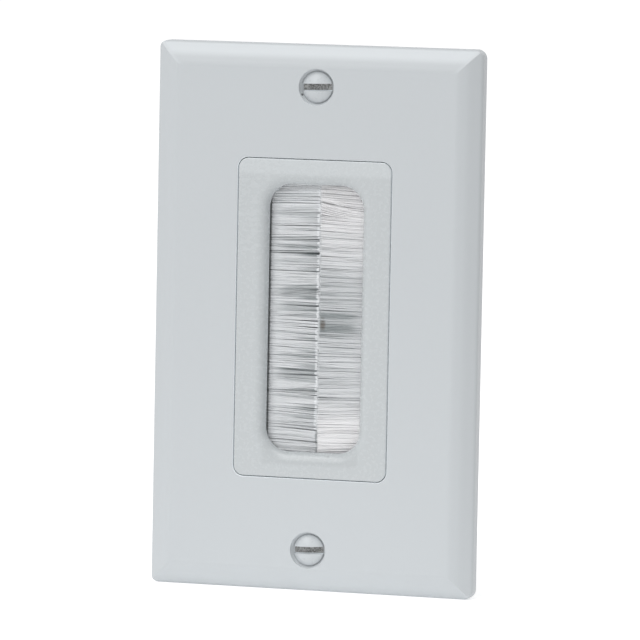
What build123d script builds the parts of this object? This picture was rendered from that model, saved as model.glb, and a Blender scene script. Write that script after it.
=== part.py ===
from build123d import *
import math
import os

os.makedirs("parts", exist_ok=True)

# Brush wall plate: a decorator cover plate with a brush insert in its window.
# Millimetres. X to the right, Z up, Y back into the wall, and the wall plane is Y = 0.
# A height is measured forward from the wall plane, so it points along minus Y.

# Cover plate
plate_width = 70.4
plate_height = 114.4
plate_depth = 5.4
plate_corner = 2.0
plate_wall = 2.2
hollow_chamfer = 0.9
shoulder_width = 2.0
shoulder_angle = 20.0
bevel_width = 2.6
bevel_angle = 34.0
shoulder_round = 3.0
bevel_round = 5.0
rim_round = 1.2
band_side = 18.45
band_end = 23.75
window_corner = 2.3
window_edge_round = 0.25
rib_width = 1.3
rib_gap = 0.2

# Screws of the plate, and the holes of the strap
plate_screw_edge = 8.78
box_screw_step = 6.75
head_diameter = 6.65
head_sink = 1.1
sink_land = 0.62
sink_edge_round = 0.15
head_gap = 0.06
head_cone_angle = 82.0
head_land = 0.15
head_dome = 1.05
slot_width = 1.5
slot_depth = 1.45
slot_turn_top = 1.5
slot_turn_bottom = 1.9
shank_diameter = 3.4
shank_gap = 0.4
thread_gap = 0.05
plate_screw_length = 12.7
point_chamfer = 0.6
boss_wall = 1.0
box_hole_diameter = 4.4
box_head_diameter = 7.4
box_head_recess = 1.2

# Insert frame: bezel, strap and pad behind it
bezel_gap = 0.15
bezel_edge_round = 0.3
strap_side = 2.9
strap_end_gap = 2.0
strap_thickness = 2.2
strap_corner = 4.0
pad_side = 1.4
pad_end = 2.2
border_side = 6.3
border_end = 5.3
opening_corner = 5.0
lip_round = 2.2
lip_thickness = 2.4
seat_thickness = 2.5

# Brush strips
mouth_setback = 1.5
strip_overlap = 1.2
channel_width = 3.2
channel_depth = 3.6
channel_wall = 0.4
channel_mouth = 2.2
channel_bend = 0.8
channel_gap = 0.1
seat_relief = 0.2
wire_diameter = 0.9
wire_gap = 0.05
root_gap = 0.1
tuft_count = 55
tuft_root_thickness = 1.6
tuft_tip_thickness = 2.5
tuft_crown = 0.3
tuft_tip_fill = 0.8
tuft_sway = 0.09
tuft_fan = 0.012
tuft_raggedness = 0.12
tuft_end_margin = 0.5
seam_centre = 0.5
seam_gap = 0.6

# Rear retainer and its screws
retainer_thickness = 1.8
retainer_inset = 0.4
retainer_corner = 2.0
retainer_edge_round = 0.5
aperture_margin = 0.4
small_screw_inset = 2.1
small_screw_side = 3.2
small_head_diameter = 3.8
small_head_height = 1.3
small_head_round = 0.6
small_shank_diameter = 2.1
small_shank_gap = 0.2
small_screw_length = 5.6
small_recess_width = 0.55
small_recess_span = 2.2
small_recess_depth = 0.8
pilot_gap = 0.05
pilot_spare = 0.4


# Sizes that follow from the values above
def tangent(degrees):
    return math.tan(math.radians(degrees))


near = 0.001
inner_face = plate_depth - plate_wall
window_width = plate_width - 2 * band_side
window_height = plate_height - 2 * band_end
plate_screw_spacing = plate_height - 2 * plate_screw_edge
box_screw_spacing = plate_screw_spacing - 2 * box_screw_step
strap_length = plate_height - 2 * plate_wall - 2 * strap_end_gap
cone_half = head_cone_angle / 2
bezel_width = window_width - 2 * bezel_gap
bezel_height = window_height - 2 * bezel_gap
strap_width = bezel_width + 2 * strap_side
opening_width = bezel_width - 2 * border_side
opening_height = bezel_height - 2 * border_end
lip_back = plate_depth - lip_thickness
seat_height = plate_depth - seat_thickness
channel_front = seat_height - channel_gap
channel_back = channel_front - channel_depth
channel_middle = (channel_front + channel_back) / 2
mouth_x = opening_width / 2 + mouth_setback
channel_outer_x = mouth_x + channel_width
channel_length = opening_height + 2 * strip_overlap
pocket_half_width = channel_outer_x + channel_gap
pocket_half_height = channel_length / 2 + seat_relief
pad_back = channel_back - channel_gap
pad_width = strap_width - 2 * pad_side
screw_row = pocket_half_height + small_screw_inset
pad_height = 2 * (screw_row + small_head_diameter / 2 + pad_end)
retainer_back = pad_back - retainer_thickness
pilot_depth = small_screw_length - retainer_thickness + pilot_spare
small_screw_column = bezel_width / 2 - small_screw_side
small_screw_spots = [
    (side * small_screw_column, end * screw_row) for end in (1, -1) for side in (-1, 1)
]


# Shape helpers
def bevel_waste(half):
    """What the two step bevel takes off one side of the plate, with X outward and Y forward."""
    face_height = plate_depth
    knee_height = face_height - shoulder_width * tangent(shoulder_angle)
    side_height = knee_height - bevel_width * tangent(bevel_angle)
    knee = half - bevel_width
    face_edge = knee - shoulder_width
    rounds = {
        (half, side_height): rim_round,
        (knee, knee_height): bevel_round,
        (face_edge, face_height): shoulder_round,
    }
    with BuildSketch() as waste:
        with BuildLine():
            Polyline(
                [
                    (half, -plate_wall),
                    *rounds,
                    (face_edge - 2 * shoulder_round, face_height),
                    (face_edge - 2 * shoulder_round, 2 * face_height),
                    (half + plate_wall, 2 * face_height),
                    (half + plate_wall, -plate_wall),
                ],
                close=True,
            )
        make_face()
        for (x, y), radius in rounds.items():
            fillet(waste.vertices().sort_by_distance((x, y, 0))[0], radius)
    return waste.sketch


def front_plane(height):
    """The plane at a height in front of the wall plane, facing forward."""
    return Plane.XZ.offset(height)


def keep(piece, name):
    """Name a finished piece and write its file."""
    piece.part.label = name
    export_step(piece.part, f"parts/{name}.step")


# Cover plate
sides = {
    Plane(origin=(0, 0, 0), x_dir=(1, 0, 0), z_dir=(0, 0, -1)): plate_width / 2,
    Plane(origin=(0, 0, 0), x_dir=(-1, 0, 0), z_dir=(0, 0, 1)): plate_width / 2,
    Plane(origin=(0, 0, 0), x_dir=(0, 0, 1), z_dir=(1, 0, 0)): plate_height / 2,
    Plane(origin=(0, 0, 0), x_dir=(0, 0, -1), z_dir=(-1, 0, 0)): plate_height / 2,
}
bevel_cuts = [plane * bevel_waste(half) for plane, half in sides.items()]
sink_radius = head_diameter / 2 + head_gap + (head_sink - sink_land) * tangent(cone_half)
clear_radius = (shank_diameter + shank_gap) / 2
with BuildPart() as wall_plate:
    with BuildSketch(Plane.XZ):
        RectangleRounded(plate_width, plate_height, plate_corner)
    extrude(amount=plate_depth)
    for waste in bevel_cuts:
        extrude(waste, amount=plate_height, both=True, mode=Mode.SUBTRACT)
    with BuildSketch(Plane.XZ):
        RectangleRounded(plate_width - 2 * plate_wall, plate_height - 2 * plate_wall, plate_corner / 2)
    extrude(amount=inner_face - hollow_chamfer, mode=Mode.SUBTRACT)
    with BuildSketch(front_plane(inner_face - hollow_chamfer)):
        RectangleRounded(plate_width - 2 * plate_wall, plate_height - 2 * plate_wall, plate_corner / 2)
    extrude(amount=hollow_chamfer, taper=45, mode=Mode.SUBTRACT)
    with BuildSketch(front_plane(strap_thickness)):
        with GridLocations(0, plate_screw_spacing, 1, 2):
            Circle(clear_radius + boss_wall)
    extrude(amount=inner_face - strap_thickness + plate_wall / 2)
    with BuildSketch(front_plane(strap_thickness + rib_gap)):
        RectangleRounded(window_width + 2 * rib_width, window_height + 2 * rib_width, window_corner + rib_width)
    extrude(amount=inner_face - strap_thickness - rib_gap + plate_wall / 2)
    with BuildSketch(Plane.XZ):
        RectangleRounded(window_width, window_height, window_corner)
    extrude(amount=2 * plate_depth, mode=Mode.SUBTRACT)
    with Locations(front_plane(plate_depth - sink_land)):
        with GridLocations(0, plate_screw_spacing, 1, 2):
            CounterSinkHole(clear_radius, sink_radius, 2 * plate_depth, head_cone_angle)
    with BuildSketch(front_plane(plate_depth)):
        with GridLocations(0, plate_screw_spacing, 1, 2):
            Circle(sink_radius)
    extrude(amount=-sink_land, mode=Mode.SUBTRACT)
    window_edges = (
        wall_plate.edges()
        .filter_by(lambda e: abs(e.center().Y + plate_depth) < near)
        .filter_by(lambda e: abs(e.center().X) < window_width / 2 + near)
        .filter_by(lambda e: abs(e.center().Z) < window_height / 2 + near)
    )
    fillet(window_edges, window_edge_round)
    sink_edges = (
        wall_plate.edges()
        .filter_by(GeomType.CIRCLE)
        .filter_by(lambda e: abs(e.center().Y + plate_depth) < near)
        .filter_by(lambda e: abs(e.radius - sink_radius) < near)
    )
    fillet(sink_edges, sink_edge_round)
keep(wall_plate, "wall_plate")

# Insert frame
with BuildPart() as insert_frame:
    with BuildSketch(Plane.XZ):
        RectangleRounded(strap_width, strap_length, strap_corner)
    extrude(amount=strap_thickness)
    with BuildSketch(Plane.XZ):
        RectangleRounded(pad_width, pad_height, retainer_corner)
    extrude(amount=pad_back)
    with BuildSketch(Plane.XZ):
        RectangleRounded(bezel_width, bezel_height, window_corner - bezel_gap)
    extrude(amount=plate_depth)
    bezel_rim = insert_frame.edges().filter_by(lambda e: abs(e.center().Y + plate_depth) < near)
    fillet(bezel_rim, bezel_edge_round)
    with BuildSketch(front_plane(plate_depth)):
        RectangleRounded(opening_width, opening_height, opening_corner)
    extrude(amount=-2 * plate_depth, mode=Mode.SUBTRACT)
    lip_edges = (
        insert_frame.edges()
        .filter_by(lambda e: abs(e.center().Y + plate_depth) < near)
        .filter_by(lambda e: abs(e.center().X) < opening_width / 2 + near)
        .filter_by(lambda e: abs(e.center().Z) < opening_height / 2 + near)
    )
    fillet(lip_edges, lip_round)
    with BuildSketch(front_plane(lip_back)):
        Rectangle(2 * mouth_x - 2 * seat_relief, 2 * pocket_half_height)
    extrude(amount=pad_back - lip_back, mode=Mode.SUBTRACT)
    with BuildSketch(front_plane(seat_height)):
        Rectangle(2 * pocket_half_width, 2 * pocket_half_height)
    extrude(amount=pad_back - seat_height, mode=Mode.SUBTRACT)
    with Locations(front_plane(strap_thickness)):
        with GridLocations(0, box_screw_spacing, 1, 2):
            CounterBoreHole(box_hole_diameter / 2, box_head_diameter / 2, box_head_recess, 2 * strap_thickness)
        with GridLocations(0, plate_screw_spacing, 1, 2):
            Hole(shank_diameter / 2 + thread_gap, 2 * strap_thickness)
    with BuildSketch(front_plane(pad_back)):
        with Locations(*small_screw_spots):
            Circle(small_shank_diameter / 2 + pilot_gap)
    extrude(amount=pilot_depth, mode=Mode.SUBTRACT)
keep(insert_frame, "insert_frame")

# Rear retainer
aperture_width = opening_width + 2 * aperture_margin
aperture_height = opening_height + 2 * aperture_margin
with BuildPart() as rear_retainer:
    with BuildSketch(front_plane(pad_back)):
        RectangleRounded(pad_width - 2 * retainer_inset, pad_height - 2 * retainer_inset, retainer_corner)
        RectangleRounded(
            aperture_width, aperture_height, opening_corner + aperture_margin, mode=Mode.SUBTRACT
        )
        with Locations(*small_screw_spots):
            Circle((small_shank_diameter + small_shank_gap) / 2, mode=Mode.SUBTRACT)
    extrude(amount=-retainer_thickness)
    back_edges = (
        rear_retainer.edges()
        .filter_by(lambda e: abs(e.center().Y + retainer_back) < near)
        .filter_by(lambda e: e.geom_type != GeomType.CIRCLE or e.radius > small_shank_diameter)
    )
    fillet(back_edges, retainer_edge_round)
keep(rear_retainer, "rear_retainer")


# Brush strips, one to each side of the opening
wire_x = channel_outer_x - channel_wall - root_gap - 1.2 * wire_diameter
root_outer_x = channel_outer_x - channel_wall - root_gap
root_half = (channel_depth / 2) - channel_wall - root_gap
neck_half = channel_mouth / 2 - root_gap
strip_length = channel_length - 2 * root_gap


def channel(side):
    """Folded metal channel with its mouth towards the middle of the opening."""
    middle = side * (mouth_x + channel_width / 2)
    mouth_side = side * (mouth_x + channel_wall / 2)
    with BuildPart() as piece:
        with BuildSketch(Plane.XY.offset(-channel_length / 2)):
            with Locations((middle, -channel_middle)):
                RectangleRounded(channel_width, channel_depth, channel_bend)
                RectangleRounded(
                    channel_width - 2 * channel_wall,
                    channel_depth - 2 * channel_wall,
                    channel_bend - channel_wall,
                    mode=Mode.SUBTRACT,
                )
            with Locations((mouth_side, -channel_middle)):
                Rectangle(2 * channel_wall, channel_mouth, mode=Mode.SUBTRACT)
        extrude(amount=channel_length)
    return piece


def core_wire(side):
    """Wire that the bristles are folded round."""
    with BuildPart() as piece:
        with BuildSketch(Plane.XY.offset(-strip_length / 2)):
            with Locations((side * wire_x, -channel_middle)):
                Circle(wire_diameter / 2)
        extrude(amount=strip_length)
    return piece


def tuft_section(x, z, half_thickness, half_height):
    """Six sided section of a tuft, ridged at the front and back, on a plane across X."""
    shoulder = half_thickness - tuft_crown
    return Polyline(
        [
            (x, -channel_middle - half_thickness, z),
            (x, -channel_middle - shoulder, z + half_height),
            (x, -channel_middle + shoulder, z + half_height),
            (x, -channel_middle + half_thickness, z),
            (x, -channel_middle + shoulder, z - half_height),
            (x, -channel_middle - shoulder, z - half_height),
        ],
        close=True,
    )


def bristles(side):
    """One strip's bristles: a folded root in the channel, and tufts towards the seam."""
    tip_x = seam_centre + side * seam_gap / 2
    root_x = side * (mouth_x + channel_wall / 2)
    pitch = (strip_length - 2 * tuft_end_margin) / tuft_count
    tufts = []
    for i in range(tuft_count):
        root_z = (i + 0.5 - tuft_count / 2) * pitch
        sway = tuft_sway * (math.sin(2.1 * i + side) + math.sin(0.9 * i))
        ragged = tuft_raggedness * (0.5 + 0.5 * math.sin(3.7 * i + 2 * side))
        tip_z = root_z + sway + tuft_fan * root_z
        root_wire = Wire(tuft_section(root_x, root_z, tuft_root_thickness / 2, pitch / 2).edges())
        tip_wire = Wire(
            tuft_section(
                tip_x + side * ragged, tip_z, tuft_tip_thickness / 2, tuft_tip_fill * pitch / 2
            ).edges()
        )
        tufts.append(Solid.make_loft([root_wire, tip_wire], ruled=True))
    with BuildPart() as piece:
        with BuildSketch(Plane.XY.offset(-strip_length / 2)) as section:
            with BuildLine():
                Polyline(
                    [
                        (side * root_outer_x, -channel_middle - root_half / 2),
                        (side * (root_outer_x - root_half / 2), -channel_middle - root_half),
                        (side * (mouth_x + channel_wall + root_gap + root_half / 2), -channel_middle - root_half),
                        (side * (mouth_x + channel_wall + root_gap), -channel_middle - neck_half),
                        (side * (mouth_x - root_gap), -channel_middle - neck_half),
                        (side * (mouth_x - root_gap), -channel_middle + neck_half),
                        (side * (mouth_x + channel_wall + root_gap), -channel_middle + neck_half),
                        (side * (mouth_x + channel_wall + root_gap + root_half / 2), -channel_middle + root_half),
                        (side * (root_outer_x - root_half / 2), -channel_middle + root_half),
                        (side * root_outer_x, -channel_middle + root_half / 2),
                    ],
                    close=True,
                )
            make_face()
            with Locations((side * wire_x, -channel_middle)):
                Circle(wire_diameter / 2 + wire_gap, mode=Mode.SUBTRACT)
        extrude(amount=strip_length)
        add(tufts)
    return piece


for side, word in ((-1, "left"), (1, "right")):
    keep(channel(side), f"brush_channel_{word}")
    keep(core_wire(side), f"brush_core_wire_{word}")
    keep(bristles(side), f"brush_bristles_{word}")


# Screws
def plate_screw(centre_z, turn):
    """Oval head slotted screw, seated in the plate's countersink."""
    head_radius = head_diameter / 2
    shank_radius = shank_diameter / 2
    edge = plate_depth - head_sink
    cone_end = edge - (head_radius - shank_radius) / tangent(cone_half)
    top = edge + head_land + head_dome
    tip = edge + head_land - plate_screw_length
    with BuildPart() as piece:
        with BuildSketch(Plane.XY):
            with BuildLine():
                Polyline(
                    (0, -top),
                    (0, -tip),
                    (shank_radius - point_chamfer, -tip),
                    (shank_radius, -tip - point_chamfer),
                    (shank_radius, -cone_end),
                    (head_radius, -edge),
                    (head_radius, -edge - head_land),
                )
                ThreePointArc(
                    (head_radius, -edge - head_land),
                    (head_radius * math.sin(math.radians(30)), -edge - head_land - 0.76 * head_dome),
                    (0, -top),
                )
            make_face()
        revolve(axis=Axis.Y)
        with BuildSketch(front_plane(top)):
            Rectangle(2 * head_diameter, slot_width, rotation=turn)
        extrude(amount=-slot_depth, mode=Mode.SUBTRACT)
    piece.part = piece.part.moved(Location((0, 0, centre_z)))
    return piece


def retainer_screw(x, z):
    """Small pan head screw with a cross recess, driven from behind."""
    head_top = retainer_back - small_head_height
    tip = retainer_back + small_screw_length
    radius = small_head_diameter / 2
    shank = small_shank_diameter / 2
    with BuildPart() as piece:
        with BuildSketch(Plane.XY) as profile:
            with BuildLine():
                Polyline(
                    (0, -head_top),
                    (radius, -head_top),
                    (radius, -retainer_back),
                    (shank, -retainer_back),
                    (shank, -tip + shank / 2),
                    (shank / 2, -tip),
                    (0, -tip),
                    close=True,
                )
            make_face()
            corner = profile.vertices().filter_by(
                lambda v: abs(v.X - radius) < near and abs(v.Y + head_top) < near
            )
            fillet(corner, small_head_round)
        revolve(axis=Axis.Y)
        with BuildSketch(front_plane(head_top)):
            Rectangle(small_recess_span, small_recess_width)
            Rectangle(small_recess_width, small_recess_span)
        extrude(amount=small_recess_depth, mode=Mode.SUBTRACT)
    piece.part = piece.part.moved(Location((x, 0, z)))
    return piece


keep(plate_screw(plate_screw_spacing / 2, slot_turn_top), "plate_screw_top")
keep(plate_screw(-plate_screw_spacing / 2, slot_turn_bottom), "plate_screw_bottom")
for number, (x, z) in enumerate(small_screw_spots, 1):
    keep(retainer_screw(x, z), f"retainer_screw_{number}")
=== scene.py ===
"""Looks for the brush wall plate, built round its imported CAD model.

Metres. X to the right, Z up, Y back into the wall, and the wall plane is Y = 0.
"""

import math

import bpy
from bpy.props import FloatProperty, FloatVectorProperty, IntProperty, PointerProperty
from mathutils import Matrix, Vector


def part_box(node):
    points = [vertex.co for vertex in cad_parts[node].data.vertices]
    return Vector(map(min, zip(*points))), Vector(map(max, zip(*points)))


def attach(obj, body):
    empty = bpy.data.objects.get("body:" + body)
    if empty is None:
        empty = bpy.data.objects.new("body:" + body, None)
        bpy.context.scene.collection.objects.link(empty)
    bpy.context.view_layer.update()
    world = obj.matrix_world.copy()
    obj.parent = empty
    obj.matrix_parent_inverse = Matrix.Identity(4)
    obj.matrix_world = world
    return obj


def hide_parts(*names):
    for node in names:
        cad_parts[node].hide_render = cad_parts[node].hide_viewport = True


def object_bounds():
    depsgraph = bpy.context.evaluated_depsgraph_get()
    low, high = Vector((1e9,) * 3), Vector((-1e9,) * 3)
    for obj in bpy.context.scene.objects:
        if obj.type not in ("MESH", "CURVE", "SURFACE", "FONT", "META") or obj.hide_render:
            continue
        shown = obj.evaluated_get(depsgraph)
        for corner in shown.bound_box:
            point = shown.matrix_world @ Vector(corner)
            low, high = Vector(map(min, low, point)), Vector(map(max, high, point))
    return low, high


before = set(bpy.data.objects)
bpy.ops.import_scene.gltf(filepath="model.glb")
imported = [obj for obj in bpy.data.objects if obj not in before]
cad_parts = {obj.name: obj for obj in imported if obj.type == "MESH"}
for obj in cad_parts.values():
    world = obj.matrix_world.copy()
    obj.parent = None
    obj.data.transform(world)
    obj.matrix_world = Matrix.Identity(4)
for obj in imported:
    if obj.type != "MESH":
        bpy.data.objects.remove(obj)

bl_info = {
    "name": "Brush wall plate",
    "version": (1, 0, 0),
    "blender": (4, 5, 0),
    "location": "3D View > Sidebar > Brush Plate",
    "description": "Finishes, bristles, threads and stage for a wall plate with a brush insert",
    "category": "Object",
}

MM = 0.001
WHITE = (1.0, 1.0, 1.0, 1.0)

CAD_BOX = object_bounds()
PLATE_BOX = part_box("wall_plate")
BRISTLE_BOXES = {
    "left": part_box("brush_bristles_left"),
    "right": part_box("brush_bristles_right"),
}
SCREW_BOXES = {
    "top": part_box("plate_screw_top"),
    "bottom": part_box("plate_screw_bottom"),
}

# Places on the CAD model where a finish changes, and the slots' turns in degrees
PLATE_FACE = -5.4 * MM
WINDOW_HALF_WIDTH = 16.75 * MM
WINDOW_HALF_HEIGHT = 33.45 * MM
INSERT_HALF_WIDTH = 16.6 * MM
INSERT_HALF_HEIGHT = 33.3 * MM
OPENING_HALF_WIDTH = 10.3 * MM
SCREW_SEAT_RADIUS = 3.8 * MM
SLOT_DEPTH = 1.39 * MM
SLOT_TURNS = {"top": 1.5, "bottom": 1.9}


# Node building
class Field:
    """A socket that takes part in plain arithmetic."""

    def __init__(self, net, socket):
        self.net = net
        self.socket = socket

    def __add__(self, other):
        return self.net.math("ADD", self, other)

    def __sub__(self, other):
        return self.net.math("SUBTRACT", self, other)

    def __rsub__(self, other):
        return self.net.math("SUBTRACT", other, self)

    def __mul__(self, other):
        return self.net.math("MULTIPLY", self, other)

    def __truediv__(self, other):
        return self.net.math("DIVIDE", self, other)

    def __pow__(self, other):
        return self.net.math("POWER", self, other)

    def size(self):
        return self.net.math("ABSOLUTE", self)

    def floor(self):
        return self.net.math("FLOOR", self)

    def fract(self):
        return self.net.math("FRACT", self)

    def at_least(self, other):
        return self.net.math("MAXIMUM", self, other)

    def at_most(self, other):
        return self.net.math("MINIMUM", self, other)

    def ramp(self, low, high, start=0.0, end=1.0):
        """Smooth step from start to end as this value goes from low to high."""
        limits = {"From Min": low, "From Max": high, "To Min": start, "To Max": end}
        step = self.net.node(
            "ShaderNodeMapRange", {"Value": self, **limits}, interpolation_type="SMOOTHSTEP"
        )
        return Field(self.net, step.outputs[0])


class Net:
    """Adds nodes to a tree and joins them."""

    def __init__(self, tree):
        self.tree = tree

    @staticmethod
    def pick(sockets, key):
        if isinstance(key, int):
            return sockets[key]
        return next(s for s in sockets if s.name == key and s.enabled)

    def put(self, socket, value):
        if isinstance(value, Field):
            value = value.socket
        if isinstance(value, bpy.types.NodeSocket):
            self.tree.links.new(value, socket)
        else:
            socket.default_value = value

    def node(self, kind, inputs=None, **settings):
        made = self.tree.nodes.new(kind)
        for key, value in settings.items():
            setattr(made, key, value)
        for key, value in (inputs or {}).items():
            self.put(self.pick(made.inputs, key), value)
        return made

    def out(self, kind, output, inputs=None, **settings):
        made = self.node(kind, inputs, **settings)
        return Field(self, self.pick(made.outputs, output))

    def math(self, operation, a, b=0.0):
        made = self.node("ShaderNodeMath", operation=operation)
        self.put(made.inputs[0], a)
        if len([s for s in made.inputs if s.enabled]) > 1:
            self.put(made.inputs[1], b)
        return Field(self, made.outputs[0])

    def vector(self, x=0.0, y=0.0, z=0.0):
        return self.out("ShaderNodeCombineXYZ", "Vector", {"X": x, "Y": y, "Z": z})

    def parts(self, vector):
        made = self.node("ShaderNodeSeparateXYZ", {0: vector})
        return [Field(self, made.outputs[i]) for i in range(3)]

    def mix(self, factor, a, b):
        """Colour between a and b."""
        made = self.node("ShaderNodeMix", {"Factor": factor}, data_type="RGBA")
        self.put(self.pick(made.inputs, "A"), a)
        self.put(self.pick(made.inputs, "B"), b)
        return Field(self, self.pick(made.outputs, "Result"))

    def noise(self, vector, scale, detail=2.0, roughness=0.5):
        inputs = {"Vector": vector, "Scale": scale, "Detail": detail, "Roughness": roughness}
        return self.out("ShaderNodeTexNoise", 0, inputs)

    def wave(self, value, scale):
        """Smooth noise along one line, about zero."""
        inputs = {"W": value, "Scale": scale, "Detail": 1.0}
        return self.out("ShaderNodeTexNoise", 0, inputs, noise_dimensions="1D") - 0.5

    def white(self, value):
        """A random number that belongs to the value."""
        return self.out(
            "ShaderNodeTexWhiteNoise", "Value", {"W": value}, noise_dimensions="1D"
        )

    def stretched(self, vector, scales):
        """The vector with each of its axes scaled by its own factor."""
        inputs = {0: vector, 1: scales}
        return self.out("ShaderNodeVectorMath", "Vector", inputs, operation="MULTIPLY")


def cleared_net(owner):
    """The emptied node tree of a material or a world."""
    owner.use_nodes = True
    owner.node_tree.nodes.clear()
    return Net(owner.node_tree)


def seen_rays(net):
    """One for what the camera, reflections and clear parts show, zero for other light."""
    path = net.node("ShaderNodeLightPath")
    rays = ("Is Camera Ray", "Is Glossy Ray", "Is Transmission Ray")
    camera, glossy, through = (Field(net, path.outputs[ray]) for ray in rays)
    return camera.at_least(glossy).at_least(through)


def length(a, b):
    return (a * a + b * b) ** 0.5


def rgba(colour):
    return (*colour, 1.0)


def shaded(colour, factor):
    return (*(c * factor for c in colour), 1.0)


# Settings that a user would change
class BRUSHPLATE_PG_finishes(bpy.types.PropertyGroup):
    plate_colour: FloatVectorProperty(
        name="Plate Colour",
        description="Colour of the cover plate and of the paint on its screws",
        default=(0.603, 0.634, 0.655), subtype="COLOR", min=0.0, max=1.0,
    )
    plate_roughness: FloatProperty(
        name="Plate Roughness",
        description="Roughness of the plate's satin surface",
        default=0.42, min=0.0, max=1.0, subtype="FACTOR",
    )
    insert_colour: FloatVectorProperty(
        name="Insert Colour",
        description="Colour of the insert frame and the rear retainer",
        default=(0.569, 0.600, 0.614), subtype="COLOR", min=0.0, max=1.0,
    )
    insert_roughness: FloatProperty(
        name="Insert Roughness",
        description="Roughness of the insert's semi gloss surface",
        default=0.27, min=0.0, max=1.0, subtype="FACTOR",
    )
    slot_metal: FloatVectorProperty(
        name="Slot Metal",
        description="Colour of the bare metal in the screw slots",
        default=(0.200, 0.203, 0.201), subtype="COLOR", min=0.0, max=1.0,
    )
    zinc_colour: FloatVectorProperty(
        name="Zinc Colour",
        description="Colour of the plating on the small screws and the screw shanks",
        default=(0.55, 0.56, 0.57), subtype="COLOR", min=0.0, max=1.0,
    )


class BRUSHPLATE_PG_bristles(bpy.types.PropertyGroup):
    filaments: IntProperty(
        name="Filaments",
        description="Number of filaments in each strip",
        default=3700, min=10, max=4400,
    )
    segments: IntProperty(
        name="Segments",
        description="Straight spans along each filament",
        default=5, min=2, max=8,
    )
    diameter: FloatProperty(
        name="Diameter",
        description="Diameter of one filament",
        default=0.215 * MM, min=0.05 * MM, max=0.5 * MM,
        subtype="DISTANCE", unit="LENGTH", precision=5,
    )
    clump_width: FloatProperty(
        name="Clump Width",
        description="Usual width of a clump of filaments",
        default=0.8 * MM, min=0.2 * MM, max=5 * MM,
        subtype="DISTANCE", unit="LENGTH", precision=5,
    )
    clump_pull: FloatProperty(
        name="Clump Pull",
        description="How far filaments draw together at the tips of their clump",
        default=0.30, min=0.0, max=1.0, subtype="FACTOR",
    )
    calm: FloatProperty(
        name="Calm Right Strip",
        description="How much less the right strip's filaments are disturbed",
        default=0.62, min=0.0, max=1.0, subtype="FACTOR",
    )
    seam_groove: FloatProperty(
        name="Seam Groove",
        description="Width of the groove between the strips at the front",
        default=0.80 * MM, min=0.0, max=3 * MM,
        subtype="DISTANCE", unit="LENGTH", precision=5,
    )
    seed: IntProperty(
        name="Seed",
        description="Seed of everything random in the bristles",
        default=11, min=0,
    )
    colour: FloatVectorProperty(
        name="Filament Colour",
        description="Colour of filaments in full light",
        default=(0.800, 0.817, 0.834), subtype="COLOR", min=0.0, max=1.0,
    )
    # The shade colour is painted shade, on filaments that lie deep between the clumps
    shade_colour: FloatVectorProperty(
        name="Shade Colour",
        description="Colour of filaments that lie deep between the clumps",
        default=(0.32, 0.35, 0.36), subtype="COLOR", min=0.0, max=1.0,
    )


class BRUSHPLATE_PG_stage(bpy.types.PropertyGroup):
    fill: FloatProperty(
        name="Fill Light",
        description="Strength of the even light from all round",
        default=0.45, min=0.0,
    )
    key_power: FloatProperty(
        name="Key Power",
        description="Power of the tall lamp in front on the left",
        default=5.75, min=0.0, unit="POWER",
    )
    top_power: FloatProperty(
        name="Top Power",
        description="Power of the wide lamp overhead",
        default=4.5, min=0.0, unit="POWER",
    )
    floor_size: FloatProperty(
        name="Floor Size",
        description="Length of the floor's side",
        default=16.0, min=1.0, subtype="DISTANCE", unit="LENGTH",
    )
    floor_glow: FloatProperty(
        name="Floor Glow",
        description="How much whiter the floor looks to the camera and in reflections",
        default=0.50, min=0.0,
    )
    floor_lift: FloatProperty(
        name="Floor Lift",
        description="Strength of the light that the floor gives from below, by the object's foot",
        default=0.33, min=0.0,
    )
    azimuth: FloatProperty(
        name="Azimuth",
        description="Camera's turn to the right of straight in front",
        default=math.radians(16.916), subtype="ANGLE",
    )
    elevation: FloatProperty(
        name="Elevation",
        description="Camera's angle above the horizon",
        default=math.radians(5.109), subtype="ANGLE",
    )
    roll: FloatProperty(
        name="Roll",
        description="Camera's turn about its own axis",
        default=math.radians(1.097), subtype="ANGLE",
    )
    distance: FloatProperty(
        name="Distance",
        description="Camera's distance from the middle of the plate's face",
        default=1.31653, min=0.1, subtype="DISTANCE", unit="LENGTH",
    )
    lens: FloatProperty(
        name="Lens",
        description="Focal length in millimetres on a 36 mm sensor",
        default=355.63, min=1.0, unit="CAMERA",
    )


# Materials
def new_material(name):
    material = bpy.data.materials.new(name)
    net = cleared_net(material)
    return material, net, net.out("ShaderNodeTexCoord", "Object")


def finish_material(net, inputs, bump=None):
    """Closes a material with one Principled shader, behind a bump node where one is given."""
    if bump is not None:
        inputs = {**inputs, "Normal": net.out("ShaderNodeBump", "Normal", bump)}
    shader = net.node("ShaderNodeBsdfPrincipled", inputs)
    net.node("ShaderNodeOutputMaterial", {"Surface": shader.outputs[0]})


def assign(node_name, material):
    """Gives a CAD node its material in place of the plain one."""
    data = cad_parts[node_name].data
    data.materials.clear()
    data.materials.append(material)


def band(axis, low, high, soft):
    """One between two places on an axis, fading to zero over the soft distance."""
    half = (high - low) / 2
    return (axis - (low + high) / 2).size().ramp(half + soft, half)


def round_spot(across, up, outer, inner):
    """One inside the inner radius, fading to zero at the outer radius."""
    return length(across, up).ramp(outer, inner)


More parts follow.
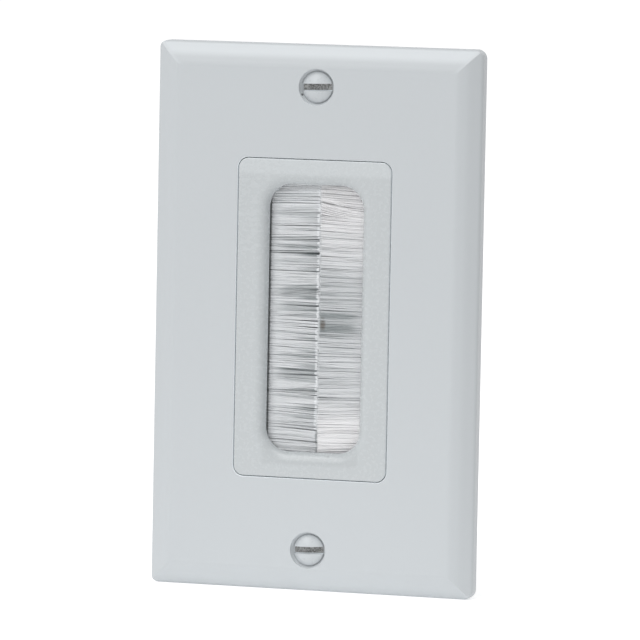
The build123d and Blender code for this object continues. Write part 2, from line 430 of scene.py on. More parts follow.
def plate_material(finishes):
    """Satin plastic, with painted shade in its screw seats, a painted highlight and painted shade
    on its top bevel, and painted light on its window walls.
    """
    material, net, coords = new_material("satin_plate")
    base = finishes.plate_colour
    x, y, z = net.parts(coords)
    mottle = net.noise(coords, 900.0, 4.0, 0.6)
    cloud = net.noise(coords, 70.0, 2.0)
    grain = net.noise(coords, 2600.0, 3.0, 0.55)
    colour = net.mix((mottle - 0.5) * 0.5 + 0.5, shaded(base, 0.955), shaded(base, 1.04))
    colour = net.mix((cloud - 0.5) * 0.8 + 0.5, colour, rgba(base))

    # Painted shade in both screw seats, and the dark speck in the upper one
    low, high = SCREW_BOXES["top"]
    screw_z = (low.z + high.z) / 2
    seat_shade = round_spot(x, z.size() - screw_z, SCREW_SEAT_RADIUS, SCREW_SEAT_RADIUS - 0.06 * MM)
    seat_shade = seat_shade * y.ramp(PLATE_FACE + 0.06 * MM, PLATE_FACE + 0.20 * MM)
    seat_shade = seat_shade * y.ramp(-2.0 * MM, -2.4 * MM)
    colour = net.mix(seat_shade, colour, shaded(base, 0.94))
    speck = round_spot(x + 3.3 * MM, z - (screw_z - 1.65 * MM), 0.34 * MM, 0.16 * MM)
    colour = net.mix(speck * seat_shade * 0.9, colour, shaded(base, 0.18))

    # Painted highlight on the top bevel's outer part, and painted shade on its inner part,
    # darkest along its top edge
    from_side = PLATE_BOX[1].x - x.size()
    from_top = PLATE_BOX[1].z - z
    top_bevel = (from_side - from_top).ramp(0.0, 1.4 * MM)
    outer = from_top.ramp(3.9 * MM, 1.8 * MM) * top_bevel
    inner = from_top.ramp(5.3 * MM, 4.5 * MM) * from_top.ramp(1.9 * MM, 3.8 * MM) * top_bevel
    colour = net.mix(outer, colour, shaded(base, 1.07))
    colour = net.mix(inner, colour, shaded(base, 0.94))
    colour = net.mix(from_top.ramp(0.6 * MM, 0.1 * MM), colour, shaded(base, 0.86))

    # Painted light on the window's walls, against the shade in the thin gap round the insert
    window_wall_light = y.ramp(PLATE_FACE + 0.01 * MM, PLATE_FACE + 0.06 * MM)
    for axis, half in ((x, WINDOW_HALF_WIDTH), (z, WINDOW_HALF_HEIGHT)):
        window_wall_light = window_wall_light * axis.size().ramp(half + 0.15 * MM, half + 0.05 * MM)
    colour = net.mix(window_wall_light, colour, shaded(base, 1.5))

    roughness = (mottle * 0.10 + cloud * 0.04 + 0.93) * finishes.plate_roughness
    finish_material(
        net,
        {"Base Color": colour, "Roughness": roughness, "IOR": 1.46},
        bump={"Height": grain * 0.6 + mottle * 0.4, "Distance": 0.04 * MM, "Strength": 0.45},
    )
    return material


def insert_material(finishes):
    """Semi gloss moulding with smears along its top band and small pits in its side bands."""
    material, net, coords = new_material("semi_gloss_insert")
    base = finishes.insert_colour
    x, y, z = net.parts(coords)
    mottle = net.noise(coords, 1100.0, 4.0, 0.6)
    grain = net.noise(coords, 2300.0, 3.0, 0.5)
    colour = net.mix(mottle, shaded(base, 0.965), shaded(base, 1.035))

    # Painted light on the top band, painted shade on the lower lip, and painted light on the
    # walls by the gap, against the shade in it
    front = y.ramp(-1.6 * MM, -2.0 * MM)
    colour = net.mix(z.ramp(29.4 * MM, 30.8 * MM) * front, colour, shaded(base, 1.09))
    lower_lip_shade = band(x, -10.0 * MM, 10.0 * MM, 0.8 * MM)
    lower_lip_shade = lower_lip_shade * band(z, -30.2 * MM, -27.0 * MM, 0.8 * MM)
    colour = net.mix(lower_lip_shade, colour, shaded(base, 0.93))
    side_wall, end_wall = (
        axis.size().ramp(half - 0.25 * MM, half - 0.05 * MM)
        for axis, half in ((x, INSERT_HALF_WIDTH), (z, INSERT_HALF_HEIGHT))
    )
    gap_wall_light = side_wall.at_least(end_wall) * front
    gap_wall_light = gap_wall_light * y.ramp(PLATE_FACE + 0.15 * MM, PLATE_FACE + 0.40 * MM)
    colour = net.mix(gap_wall_light, colour, shaded(base, 1.55))

    # Smears at the top left
    smear = net.noise(net.stretched(coords, (420.0, 200.0, 900.0)), 1.0, 3.0, 0.6)
    top_band = band(x, -17.0 * MM, 4.0 * MM, 1.2 * MM) * band(z, 29.0 * MM, 33.5 * MM, 1.2 * MM)
    left_band = band(x, -17.0 * MM, -13.0 * MM, 2.5 * MM)
    left_band = left_band * band(z, 14.0 * MM, 33.5 * MM, 2.5 * MM)
    smears = smear.ramp(0.50, 0.66) * top_band.at_least(left_band * 0.5)
    colour = net.mix(smears * 0.55, colour, shaded(base, 1.12))

    # Pits, mostly in the right band, and one speck below the opening
    cells = {"Vector": coords, "Scale": 620.0, "Randomness": 1.0}
    pit = net.out("ShaderNodeTexVoronoi", "Distance", cells)
    rare = net.noise(coords, 260.0, 1.0).ramp(0.56, 0.66)
    right_band = band(x, 11.5 * MM, 17.0 * MM, 1.0 * MM)
    right_band = right_band * band(z, -34.0 * MM, 34.0 * MM, 1.0 * MM)
    pits = pit.ramp(0.20, 0.05) * rare * right_band.at_least(0.35)
    colour = net.mix(pits * 0.5, colour, shaded(base, 1.16))
    speck = round_spot(x - 3.9 * MM, z + 28.6 * MM, 0.42 * MM, 0.12 * MM)
    colour = net.mix(speck * 0.45, colour, shaded(base, 0.62))

    roughness = mottle * 0.08 + smears * 0.12 + (finishes.insert_roughness - 0.04)
    height = grain * 0.22 + mottle * 0.14 - smears * 0.7 - pits * 0.9
    finish_material(
        net,
        {"Base Color": colour, "Roughness": roughness, "IOR": 1.49},
        bump={"Height": height, "Distance": 0.04 * MM, "Strength": 0.5},
    )
    return material


def retainer_material(finishes):
    """Moulded plastic with faint flow lines."""
    material, net, coords = new_material("moulded_retainer")
    base = finishes.insert_colour
    flow = net.noise(net.stretched(coords, (260.0, 260.0, 90.0)), 1.0, 3.0)
    grain = net.noise(coords, 2400.0, 3.0, 0.55)
    colour = net.mix(flow, shaded(base, 0.94), shaded(base, 1.03))
    finish_material(
        net,
        {"Base Color": colour, "Roughness": flow * 0.10 + 0.40, "IOR": 1.47},
        bump={"Height": grain, "Distance": 0.05 * MM, "Strength": 0.4},
    )
    return material


def metal_material(name, colour, roughness, scales, scratch):
    """Metal with fine lines along the axis whose scale is smallest."""
    material, net, coords = new_material(name)
    lines = net.noise(net.stretched(coords, scales), 1.0, 4.0, 0.65)
    cloud = net.noise(coords, 500.0, 3.0)
    tint = net.mix(lines * 0.6 + cloud * 0.4, shaded(colour, 0.82), shaded(colour, 1.08))
    gloss = lines * scratch + cloud * 0.08 + (roughness - scratch / 2)
    finish_material(
        net,
        {"Base Color": tint, "Metallic": 1.0, "Roughness": gloss},
        bump={"Height": lines, "Distance": 0.03 * MM, "Strength": 0.35},
    )
    return material


def painted_screw_material(finishes, end):
    """Painted head, with the bare, speckled metal that a screwdriver leaves in the slot."""
    material, net, coords = new_material(f"painted_screw_{end}")
    low, high = SCREW_BOXES[end]
    turn = math.radians(SLOT_TURNS[end])
    x, y, z = net.parts(coords)
    z = z - (low.z + high.z) / 2
    across = z * math.cos(turn) - x * math.sin(turn)

    slot_floor = low.y + SLOT_DEPTH
    by_floor = y.ramp(slot_floor - 0.30 * MM, slot_floor - 0.05 * MM)
    by_floor = by_floor * y.ramp(slot_floor + 0.3 * MM, slot_floor + 0.12 * MM)
    slot_light = across.size().ramp(0.83 * MM, 0.77 * MM) * by_floor
    bare = (across - 0.08 * MM).size().ramp(0.70 * MM, 0.62 * MM) * by_floor
    shank = y.ramp(-2.9 * MM, -2.6 * MM)

    metal = finishes.slot_metal
    speckle = net.noise(net.stretched(coords, (2600.0, 2600.0, 2600.0)), 1.0, 3.0, 0.7)
    scrape = net.noise(net.stretched(coords, (700.0, 900.0, 4200.0)), 1.0, 2.0)
    metal_tint = net.mix(speckle.ramp(0.36, 0.64), shaded(metal, 0.40), shaded(metal, 2.1))
    metal_tint = net.mix(scrape * 0.35, metal_tint, shaded(metal, 1.2))

    paint = finishes.plate_colour
    mottle = net.noise(coords, 1300.0, 3.0, 0.6)
    paint_tint = net.mix(mottle, shaded(paint, 0.97), shaded(paint, 1.03))
    # Painted shade on the head's rim, darker towards the right, and painted light on the paint in
    # the slot
    rim_shade = round_spot(x, z, 3.05 * MM, 3.25 * MM) * x.ramp(-1.5 * MM, 1.5 * MM, 0.35, 1.0)
    paint_tint = net.mix(rim_shade, paint_tint, shaded(paint, 0.62))
    paint_tint = net.mix(slot_light, paint_tint, shaded(paint, 1.40))

    zinc = finishes.zinc_colour
    zinc_tint = net.mix(scrape, shaded(zinc, 0.8), shaded(zinc, 1.05))
    colour = net.mix(bare, paint_tint, metal_tint)
    colour = net.mix(shank, colour, zinc_tint)
    roughness = bare * 0.22 + shank * 0.08 + mottle * 0.06 + 0.25
    metallic = (shank * 0.95 + bare * 0.35).at_most(1.0)
    height = mottle * 0.5 + speckle * bare * 1.2
    finish_material(
        net,
        {"Base Color": colour, "Roughness": roughness, "Metallic": metallic, "IOR": 1.5},
        bump={"Height": height, "Distance": 0.05 * MM, "Strength": 0.5},
    )
    return material


def bristle_material(settings):
    """Nylon, pale in full light, with painted shade where a filament lies deep between the clumps
    and behind the opening's lip, and painted light on roots, cut ends and top rows.
    """
    material, net, coords = new_material("nylon_filament")
    along, tone, buried, row = (
        net.out("ShaderNodeAttribute", "Fac", attribute_name=name)
        for name in ("along", "tone", "buried", "root_z")
    )
    x, _, z = net.parts(coords)
    right = x.ramp(0.2 * MM, 0.9 * MM)
    left = 1.0 - right
    streak = net.noise(net.stretched(coords, (50.0, 500.0, 1300.0)), 1.0, 2.0, 0.6)

    # Painted shade in wedges between the clumps, which open towards the tips and differ from
    # strip to strip, and on filaments that lie deep in the strip
    place = row + right * 0.31
    stands_out = tone.ramp(0.60, 0.68, 1.0, 0.15)
    wide = (net.wave(place, 300.0) + along * 0.13).ramp(0.068, 0.112) * along.ramp(0.14, 0.5)
    narrow = (net.wave(place, 1150.0) + along * 0.12).ramp(0.145, 0.185)
    narrow = narrow * along.ramp(0.08, 0.4)
    deep = buried.ramp(0.15, 0.6) * along.ramp(0.2, 0.9)
    strength = z.size().ramp(27.5 * MM, 15.0 * MM, 0.16, 1.0) * (1.0 - right * 0.62)
    shade = wide * stands_out * 0.54 + narrow * 0.42 + deep * 0.12

    # Painted shade in the right strip's parting at mid height, and paler painted shade above it
    parting = band(z, -2.5 * MM, 0.7 * MM, 2.2 * MM) * right
    paler_shade = band(z, 4.0 * MM, 8.0 * MM, 4.0 * MM) * right
    shade = shade * strength.at_least(parting * 0.75)
    shade = shade + parting * (streak * 0.30 + 0.34) * along.ramp(0.02, 0.5) + paler_shade * 0.16

    # Painted light on the left strip's cut ends, down to the last rows, where painted shade makes
    # the seam a dark line
    lit_cut_ends = along.ramp(0.948, 0.970) * left * z.ramp(-24.5 * MM, -23.0 * MM)
    seam_shade = along.ramp(0.978, 0.990) * left * z.ramp(-23.0 * MM, -24.5 * MM)
    shade = (shade * (1.0 - lit_cut_ends * 0.85) + seam_shade * 0.6).at_most(1.0)

    # Painted light on the left strip's roots, its cut ends and the top rows, against the lip's
    # shadow, and painted light with a rosy tint towards the right strip's ends
    light = settings.colour
    plain = net.mix(streak.ramp(0.35, 0.65), shaded(light, 0.95), rgba(light))
    plain = net.mix(along.ramp(0.45, 0.10) * left, plain, shaded(light, 1.17))
    plain = net.mix(lit_cut_ends, plain, shaded(light, 1.12))
    plain = net.mix(z.ramp(18.0 * MM, 26.0 * MM), plain, shaded(light, 1.20))
    ends = z.ramp(7.0 * MM, 22.0 * MM).at_least(z.ramp(-15.0 * MM, -24.0 * MM))
    rosy_light = rgba(c * tint for c, tint in zip(light, (1.20, 1.17, 1.16)))
    plain = net.mix(right * ends, plain, rosy_light)
    colour = net.mix(shade, plain, rgba(settings.shade_colour))

    # The brown spot by the seam, and painted shadow on the filaments behind the opening's lip
    off_spot = length((x - 1.35 * MM) / (0.8 * MM), (z + 1.2 * MM) / (1.9 * MM))
    brown_spot = off_spot.ramp(1.0, 0.3) * streak.ramp(0.38, 0.52)
    colour = net.mix(brown_spot * 0.85, colour, rgba((0.17, 0.15, 0.13)))
    beside = x.size().ramp(10.10 * MM, 10.40 * MM)
    beyond = z.size().ramp(27.95 * MM, 28.2 * MM)
    colour = net.mix(beside.at_least(beyond) * 0.85, colour, shaded(settings.shade_colour, 0.45))
    finish_material(net, {"Base Color": colour, "Roughness": streak * 0.15 + 0.26, "IOR": 1.5})
    return material


# Geometry Nodes trees
def new_tree(name, inputs):
    """A tree with one geometry output and the named inputs, each with its kind and default.

    A default of None leaves the value to the operator that grows the piece.
    """
    tree = bpy.data.node_groups.new(name, "GeometryNodeTree")
    sockets = tree.interface
    sockets.new_socket(name="Geometry", in_out="OUTPUT", socket_type="NodeSocketGeometry")
    for label, (kind, default) in inputs.items():
        socket = sockets.new_socket(name=label, in_out="INPUT", socket_type=f"NodeSocket{kind}")
        if default is not None:
            socket.default_value = default
    net = Net(tree)
    group = net.node("NodeGroupInput")
    return tree, net, {label: Field(net, group.outputs[label]) for label in inputs}


def close_tree(net, geometry, material):
    """Ends a tree in Realize Instances and Set Material."""
    real = net.out("GeometryNodeRealizeInstances", "Geometry", {"Geometry": geometry})
    inputs = {"Geometry": real, "Material": material}
    painted = net.out("GeometryNodeSetMaterial", "Geometry", inputs)
    net.node("NodeGroupOutput", {"Geometry": painted})


def grow(name, tree, values):
    """Runs a tree with these inputs and keeps the result as a plain mesh object."""
    source = bpy.data.objects.new(f"{name}_source", bpy.data.meshes.new(f"{name}_source"))
    bpy.context.scene.collection.objects.link(source)
    modifier = source.modifiers.new("Nodes", "NODES")
    modifier.node_group = tree
    for item in tree.interface.items_tree:
        if item.in_out == "INPUT" and item.name in values:
            modifier[item.identifier] = values[item.name]
    bpy.context.view_layer.update()
    evaluated = source.evaluated_get(bpy.context.evaluated_depsgraph_get())
    mesh = bpy.data.meshes.new_from_object(evaluated)
    source.modifiers.clear()
    bpy.data.objects.remove(source)
    if not mesh.polygons:
        raise RuntimeError(f"{name} came out empty")
    mesh.name = name
    piece = bpy.data.objects.new(name, mesh)
    bpy.context.scene.collection.objects.link(piece)
    return piece


def random_field(net, seed, offset, low=0.0, high=1.0):
    """A random number for each element, from the tree's seed and an offset."""
    index = net.out("GeometryNodeInputIndex", "Index")
    inputs = {"Min": low, "Max": high, "ID": index, "Seed": seed + float(offset)}
    return net.out("FunctionNodeRandomValue", "Value", inputs, data_type="FLOAT")


def store(net, geometry, name, value):
    inputs = {"Geometry": geometry, "Name": name, "Value": value}
    kind = "GeometryNodeStoreNamedAttribute"
    return net.out(kind, "Geometry", inputs, data_type="FLOAT", domain="POINT")


def read(net, name):
    kind = "GeometryNodeInputNamedAttribute"
    return net.out(kind, "Attribute", {"Name": name}, data_type="FLOAT")


def tubes_along(net, curves, corners, radius):
    """Closed tubes round the curves."""
    circle = {"Resolution": corners, "Radius": radius}
    profile = net.out("GeometryNodeCurvePrimitiveCircle", "Curve", circle)
    inputs = {"Curve": curves, "Profile Curve": profile, "Fill Caps": True}
    return net.out("GeometryNodeCurveToMesh", "Mesh", inputs)


def bristle_tree():
    """A strip of filaments from a root line to a seam, drawn together in uneven clumps."""
    tree, net, given = new_tree(
        "Bristle strip",
        {
            "Filaments": ("Int", None),
            "Segments": ("Int", None),
            "Diameter": ("Float", None),
            "Strip Height": ("Float", None),
            "Height Limit": ("Float", None),
            "Root Depth": ("Float", 1.5 * MM),
            "Tip Depth": ("Float", 2.2 * MM),
            "Middle Y": ("Float", None),
            "Root X": ("Float", None),
            "Seam X": ("Float", None),
            "Side": ("Float", None),
            "Groove": ("Float", None),
            "Overlap": ("Float", 0.22 * MM),
            "Ragged": ("Float", 0.07 * MM),
            "Clump Width": ("Float", None),
            "Lock Width": ("Float", 3.1 * MM),
            "Clump Pull": ("Float", None),
            "Lock Pull": ("Float", None),
            "Clump Sway": ("Float", None),
            "Clump Dip": ("Float", None),
            "Stray": ("Float", 0.24 * MM),
            "Fan": ("Float", 0.016),
            "Ruffle Z": ("Float", 22.5 * MM),
            "Ruffle Lift": ("Float", None),
            "Seed": ("Int", None),
            "Material": ("Material", None),
        },
    )
    seed = given["Seed"]
    side = given["Side"]

    # One point for each filament, with its row, its layer, its clump and its lock of clumps
    points = net.out("GeometryNodePoints", "Points", {"Count": given["Filaments"]})
    index = net.out("GeometryNodeInputIndex", "Index")
    root_z = (index + random_field(net, seed, 1)) / given["Filaments"] - 0.5
    root_z = root_z * given["Strip Height"]
    spread = random_field(net, seed, 2, -1.0, 1.0)
    layer = net.math("SIGN", spread) * spread.size() ** 0.62
    sheet = (layer * 2.0).floor()
    place = root_z / given["Clump Width"] + net.wave(root_z, 330.0) * 2.6
    place = place + sheet * 0.37 + side * 7.3
    clump = place.floor() + sheet * 91.0
    lock_place = root_z / given["Lock Width"] + net.wave(root_z, 140.0) * 1.8
    lock_place = lock_place + side * 3.7 + sheet * 0.19
    lock = lock_place.floor() + sheet * 47.0
    gather = (place.fract() - 0.5) * given["Clump Pull"] * given["Clump Width"]
    gather = gather + (lock_place.fract() - 0.5) * given["Lock Pull"] * given["Lock Width"]
    unrest = root_z.size().ramp(27.5 * MM, 17.0 * MM, 0.45, 1.0)
    sway = (net.white(clump + 0.5) - 0.5) * 2.0 * unrest * given["Clump Sway"]
    dip = (net.white(clump + 50.5) - 0.5) * 2.0 * given["Clump Dip"]
    ragged = (net.white(clump + 90.5) - 0.5) * given["Ragged"] * 1.4
    tone = net.white(clump + 130.5) * 0.5 + net.white(lock + 170.5) * 0.35
    for name, value in (
        ("root_z", root_z),
        ("layer", layer),
        ("pull", gather * unrest * -1.0),
        ("sway", sway),
        ("dip", dip),
        ("stray", random_field(net, seed, 3, -1.0, 1.0) * given["Stray"]),
        ("bend", random_field(net, seed, 4, -1.0, 1.0) * given["Stray"]),
        ("ragged", ragged + random_field(net, seed, 5, -1.0, 1.0) * given["Ragged"]),
        ("tone", tone + random_field(net, seed, 6) * 0.15),
        ("buried", 1.0 - layer.size()),
    ):
        points = store(net, points, name, value)

    # A straight line of spans on each point, which the fields below put in place
    span = given["Segments"]
    steps = {"Count": span + 1.0, "Offset": net.vector(1.0 * MM)}
    line = net.out("GeometryNodeMeshLine", "Mesh", steps, mode="OFFSET")
    line = store(net, line, "along", net.out("GeometryNodeInputIndex", "Index") / span)
    inputs = {"Points": points, "Instance": line}
    placed = net.out("GeometryNodeInstanceOnPoints", "Instances", inputs)
    real = net.out("GeometryNodeRealizeInstances", "Geometry", {"Geometry": placed})

    along = read(net, "along")
    layer = read(net, "layer")
    root_z = read(net, "root_z")
    late = along ** 1.7
    arch = along * (1.0 - along)
    z = root_z * (late * given["Fan"] + 1.0)
    z = z + read(net, "pull") * late + read(net, "sway") * late
    z = z + read(net, "stray") * (along ** 1.4) + read(net, "bend") * arch
    ruffled = (root_z - given["Ruffle Z"]).size().ramp(2.4 * MM, 0.6 * MM)
    ruffled = ruffled * layer.ramp(-0.55, -0.75) * (read(net, "tone").ramp(0.3, 0.6) + 0.2)
    z = z + ruffled * given["Ruffle Lift"] * (along ** 2.2)
    z = z.at_most(given["Height Limit"]).at_least(given["Height Limit"] * -1.0)

    half = given["Root Depth"] / 2.0
    half = half + (given["Tip Depth"] - given["Root Depth"]) / 2.0 * along
    y = layer * half + read(net, "dip") * late * (1.0 - layer.size())
    y = y.at_most(half).at_least(half * -1.0) + given["Middle Y"]

    seam = net.wave(root_z, 130.0) * 0.5 * MM + net.wave(root_z, 700.0) * 0.25 * MM
    opened = (layer.size() - 0.65).at_least(0.0) / 0.35 * given["Groove"] / 2.0
    tip = given["Seam X"] + seam + read(net, "ragged") + side * (opened - given["Overlap"])
    x = given["Root X"] + (tip - given["Root X"]) * along

    inputs = {"Geometry": real, "Position": net.vector(x, y, z)}
    moved = net.out("GeometryNodeSetPosition", "Geometry", inputs)
    curves = net.out("GeometryNodeMeshToCurve", "Curve", {"Mesh": moved})
    tubes = tubes_along(net, curves, 4, given["Diameter"] / 2.0)
    close_tree(net, tubes, given["Material"])
    return tree


def thread_tree():
    """The helical ridge of a screw thread along Y."""
    tree, net, given = new_tree(
        "Screw thread",
        {
            "Turns": ("Float", None),
            "Radius": ("Float", None),
            "Length": ("Float", None),
            "Ridge": ("Float", None),
            "Start Y": ("Float", None),
            "Centre Z": ("Float", None),
            "Material": ("Material", None),
        },
    )
    spiral = net.out(
        "GeometryNodeCurveSpiral",
        "Curve",
        {
            "Resolution": 28,
            "Rotations": given["Turns"],
            "Start Radius": given["Radius"],
            "End Radius": given["Radius"],
            "Height": given["Length"],
            "Reverse": False,
        },
    )
    turned = net.out(
        "GeometryNodeTransform",
        "Geometry",
        {
            "Geometry": tubes_along(net, spiral, 3, given["Ridge"]),
            "Translation": net.vector(0.0, given["Start Y"], given["Centre Z"]),
            "Rotation": (math.radians(-90.0), 0.0, 0.0),
        },
    )
    close_tree(net, turned, given["Material"])
    return tree


# Operators
def direction(azimuth, elevation):
    """The unit vector towards a place round the object, from straight in front."""
    level = math.cos(elevation)
    return Vector((math.sin(azimuth) * level, -math.cos(azimuth) * level, math.sin(elevation)))


class BRUSHPLATE_OT_camera(bpy.types.Operator):
    """Place the camera at the photograph's viewing angle"""

    bl_idname = "brushplate.camera"
    bl_label = "Place Camera"

    def execute(self, context):
        stage = context.scene.brushplate_stage
        # The picture's middle is a little off the middle of the plate's face
        shift_right, shift_up = 1.690 * MM, -0.056 * MM
        back = direction(stage.azimuth, stage.elevation)
        level = Vector((math.cos(stage.azimuth), math.sin(stage.azimuth), 0.0))
        upright = back.cross(level)
        right = level * math.cos(stage.roll) + upright * math.sin(stage.roll)
        up = upright * math.cos(stage.roll) - level * math.sin(stage.roll)
        face_middle = Vector((0.0, PLATE_FACE, 0.0))
        place = face_middle + back * stage.distance + right * shift_right + up * shift_up
        camera = bpy.data.objects.new("camera", bpy.data.cameras.new("camera"))
        camera.data.sensor_width = 36.0
        camera.data.lens = stage.lens
        turn = Matrix((right, up, back)).transposed()
        camera.matrix_world = Matrix.Translation(place) @ turn.to_4x4()
        context.scene.collection.objects.link(camera)
        context.scene.camera = camera
        return {"FINISHED"}


class BRUSHPLATE_OT_stage(bpy.types.Operator):
    """Lay the floor and set the lamps and the surroundings"""

    bl_idname = "brushplate.stage"
    bl_label = "Set Stage"

    def execute(self, context):
        stage = context.scene.brushplate_stage
        self.lay_floor(stage)
        self.light_surroundings(context.scene, stage)
        self.hang_lamp(
            "key_lamp", stage.key_power,
            size=(0.6, 1.2), distance=1.3, azimuth=-28.0, elevation=44.0,
        )
        self.hang_lamp(
            "top_lamp", stage.top_power,
            size=(0.8, 0.8), distance=1.2, azimuth=0.0, elevation=78.0,
        )
        context.scene.view_settings.view_transform = "Standard"
        return {"FINISHED"}

    @staticmethod
    def lay_floor(stage):
        half = stage.floor_size / 2
        level = CAD_BOX[0].z
        mesh = bpy.data.meshes.new("floor")
        corners = ((-half, -half), (half, -half), (half, half), (-half, half))
        mesh.from_pydata([(x, y, level) for x, y in corners], [], [(0, 1, 2, 3)])
        floor = bpy.data.objects.new("floor", mesh)
        bpy.context.scene.collection.objects.link(floor)
        material = bpy.data.materials.new("white_floor")
        net = cleared_net(material)
        seen = seen_rays(net)
        matte = net.node("ShaderNodeBsdfDiffuse", {"Color": (0.9, 0.9, 0.9, 1.0)})
        x, y, _ = net.parts(net.out("ShaderNodeTexCoord", "Object"))
        # Light from below by the object's foot, and more glow towards the background
        away = length(x, y + 0.07)
        lift = away.ramp(0.17, 0.03) * stage.floor_lift
        glow = away.ramp(0.2, 1.2) * 0.15 + stage.floor_glow
        strength = lift * (1.0 - seen) + seen * glow
        lit = net.node("ShaderNodeEmission", {"Color": WHITE, "Strength": strength})
        blend = net.node("ShaderNodeAddShader", {0: matte.outputs[0], 1: lit.outputs[0]})
        net.node("ShaderNodeOutputMaterial", {"Surface": blend.outputs[0]})
        mesh.materials.append(material)

    @staticmethod
    def light_surroundings(scene, stage):
        world = bpy.data.worlds.new("white_surroundings")
        net = cleared_net(world)
        strength = seen_rays(net) * (1.0 - stage.fill) + stage.fill
        sky = net.node("ShaderNodeBackground", {"Color": WHITE, "Strength": strength})
        net.node("ShaderNodeOutputWorld", {"Surface": sky.outputs[0]})
        scene.world = world

    @staticmethod
    def hang_lamp(name, power, size, distance, azimuth, elevation):
        towards = direction(math.radians(azimuth), math.radians(elevation))
        lamp = bpy.data.objects.new(name, bpy.data.lights.new(name, "AREA"))
        lamp.data.shape = "RECTANGLE"
        lamp.data.size, lamp.data.size_y = size
        lamp.data.energy = power
        lamp.location = towards * distance
        lamp.rotation_mode = "QUATERNION"
        lamp.rotation_quaternion = (-towards).to_track_quat("-Z", "Y")
        lamp.visible_camera = False
        bpy.context.scene.collection.objects.link(lamp)


class BRUSHPLATE_OT_mouldings(bpy.types.Operator):
    """Finish the cover plate, the insert frame and the rear retainer"""

    bl_idname = "brushplate.mouldings"
    bl_label = "Finish Mouldings"

    def execute(self, context):
        finishes = context.scene.brushplate_finishes
        assign("wall_plate", plate_material(finishes))
        assign("insert_frame", insert_material(finishes))
        assign("rear_retainer", retainer_material(finishes))
        return {"FINISHED"}


class BRUSHPLATE_OT_metal(bpy.types.Operator):
    """Finish the brush channels, their core wires and the small screws"""

    bl_idname = "brushplate.metal"
    bl_label = "Finish Metal"

    def execute(self, context):
        rolled = metal_material(
            "rolled_channel", (0.62, 0.63, 0.64),
            roughness=0.36, scales=(3000.0, 3000.0, 60.0), scratch=0.16,
        )
        drawn = metal_material(
            "drawn_wire", (0.45, 0.46, 0.47),
            roughness=0.34, scales=(2500.0, 2500.0, 80.0), scratch=0.12,
        )
        plated = metal_material(
            "zinc_plating", context.scene.brushplate_finishes.zinc_colour,
            roughness=0.34, scales=(1500.0, 2600.0, 1500.0), scratch=0.14,
        )
        for word in BRISTLE_BOXES:
            assign(f"brush_channel_{word}", rolled)
            assign(f"brush_core_wire_{word}", drawn)
        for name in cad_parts:
            if name.startswith("retainer_screw_"):
                assign(name, plated)
        return {"FINISHED"}


class BRUSHPLATE_OT_plate_screws(bpy.types.Operator):
    """Paint the plate screws and cut their threads behind the strap"""

    bl_idname = "brushplate.plate_screws"
    bl_label = "Finish Plate Screws"

    def execute(self, context):
        finishes = context.scene.brushplate_finishes
        tree = thread_tree()
        # The thread starts behind the wall plane and ends short of the screw's point
        pitch, start, spare = 0.79 * MM, 0.35 * MM, 0.75 * MM
        for end, (low, high) in SCREW_BOXES.items():
            material = painted_screw_material(finishes, end)
            assign(f"plate_screw_{end}", material)
            reach = high.y - (start + spare)
            thread = grow(
                f"plate_screw_thread_{end}",
                tree,
                {
                    "Turns": reach / pitch,
                    "Radius": 1.68 * MM,
                    "Length": reach,
                    "Ridge": 0.24 * MM,
                    "Start Y": start,
                    "Centre Z": (low.z + high.z) / 2,
                    "Material": material,
                },
            )
            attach(thread, "root")
        return {"FINISHED"}


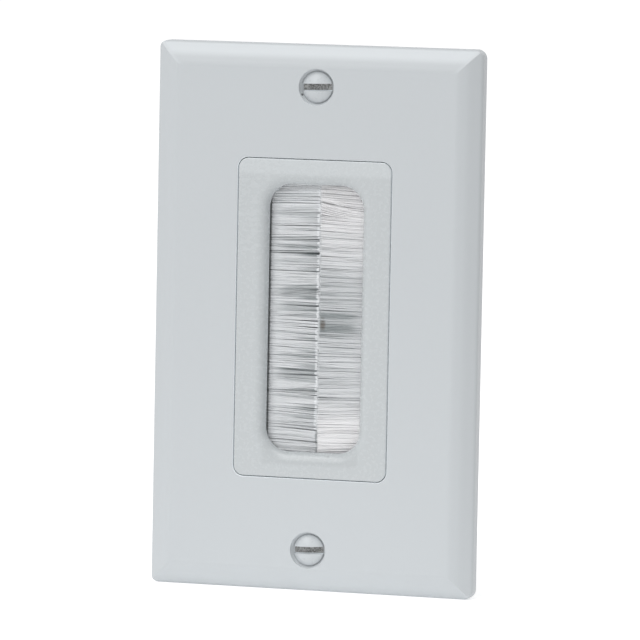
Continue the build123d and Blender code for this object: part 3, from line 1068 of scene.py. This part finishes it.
class BRUSHPLATE_OT_bristles(bpy.types.Operator):
    """Grow both strips of nylon filaments from their channels to the seam"""

    bl_idname = "brushplate.bristles"
    bl_label = "Grow Bristles"

    def execute(self, context):
        settings = context.scene.brushplate_bristles
        tree = bristle_tree()
        material = bristle_material(settings)
        seam = (BRISTLE_BOXES["left"][1].x + BRISTLE_BOXES["right"][0].x) / 2
        for word, side in (("left", -1.0), ("right", 1.0)):
            low, high = BRISTLE_BOXES[word]
            height = high.z - low.z
            unrest = 1.0 if side < 0 else 1.0 - settings.calm
            strip = grow(
                f"bristle_filaments_{word}",
                tree,
                {
                    "Filaments": settings.filaments,
                    "Segments": settings.segments,
                    "Diameter": settings.diameter,
                    "Strip Height": height - 0.3 * MM,
                    "Height Limit": height / 2 - 0.1 * MM,
                    "Middle Y": (low.y + high.y) / 2,
                    "Root X": side * (OPENING_HALF_WIDTH + 1.9 * MM),
                    "Seam X": seam,
                    "Side": side,
                    "Groove": settings.seam_groove,
                    "Clump Width": settings.clump_width,
                    "Clump Pull": settings.clump_pull * unrest,
                    "Lock Pull": 0.14 * unrest,
                    "Clump Sway": 0.26 * MM * unrest,
                    "Clump Dip": 0.45 * MM * unrest,
                    "Ruffle Lift": 1.0 * MM if side > 0 else 0.0,
                    "Seed": settings.seed + int(side),
                    "Material": material,
                },
            )
            for face in strip.data.polygons:
                face.use_smooth = True
            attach(strip, "root")
            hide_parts(f"brush_bristles_{word}")
        return {"FINISHED"}


class VIEW3D_PT_brushplate(bpy.types.Panel):
    """Sizes, finishes and steps of the brush wall plate"""

    bl_label = "Brush Wall Plate"
    bl_idname = "VIEW3D_PT_brushplate"
    bl_space_type = "VIEW_3D"
    bl_region_type = "UI"
    bl_category = "Brush Plate"

    def draw(self, context):
        scene = context.scene
        for title, group in (
            ("Finishes", scene.brushplate_finishes),
            ("Bristles", scene.brushplate_bristles),
            ("Stage", scene.brushplate_stage),
        ):
            box = self.layout.box()
            box.label(text=title)
            for name in group.__annotations__:
                box.prop(group, name)
        for step in STEPS:
            self.layout.operator(step.bl_idname)


GROUPS = {
    "brushplate_finishes": BRUSHPLATE_PG_finishes,
    "brushplate_bristles": BRUSHPLATE_PG_bristles,
    "brushplate_stage": BRUSHPLATE_PG_stage,
}
STEPS = (
    BRUSHPLATE_OT_camera,
    BRUSHPLATE_OT_stage,
    BRUSHPLATE_OT_mouldings,
    BRUSHPLATE_OT_metal,
    BRUSHPLATE_OT_plate_screws,
    BRUSHPLATE_OT_bristles,
)


def register():
    for kind in (*GROUPS.values(), *STEPS, VIEW3D_PT_brushplate):
        bpy.utils.register_class(kind)
    for name, kind in GROUPS.items():
        setattr(bpy.types.Scene, name, PointerProperty(type=kind))


def unregister():
    for name in GROUPS:
        delattr(bpy.types.Scene, name)
    for kind in reversed((*GROUPS.values(), *STEPS, VIEW3D_PT_brushplate)):
        bpy.utils.unregister_class(kind)


def main():
    register()
    bpy.ops.brushplate.camera()
    bpy.ops.brushplate.stage()
    bpy.ops.brushplate.mouldings()
    bpy.ops.brushplate.metal()
    bpy.ops.brushplate.plate_screws()
    bpy.ops.brushplate.bristles()


if __name__ == "__main__":
    main()
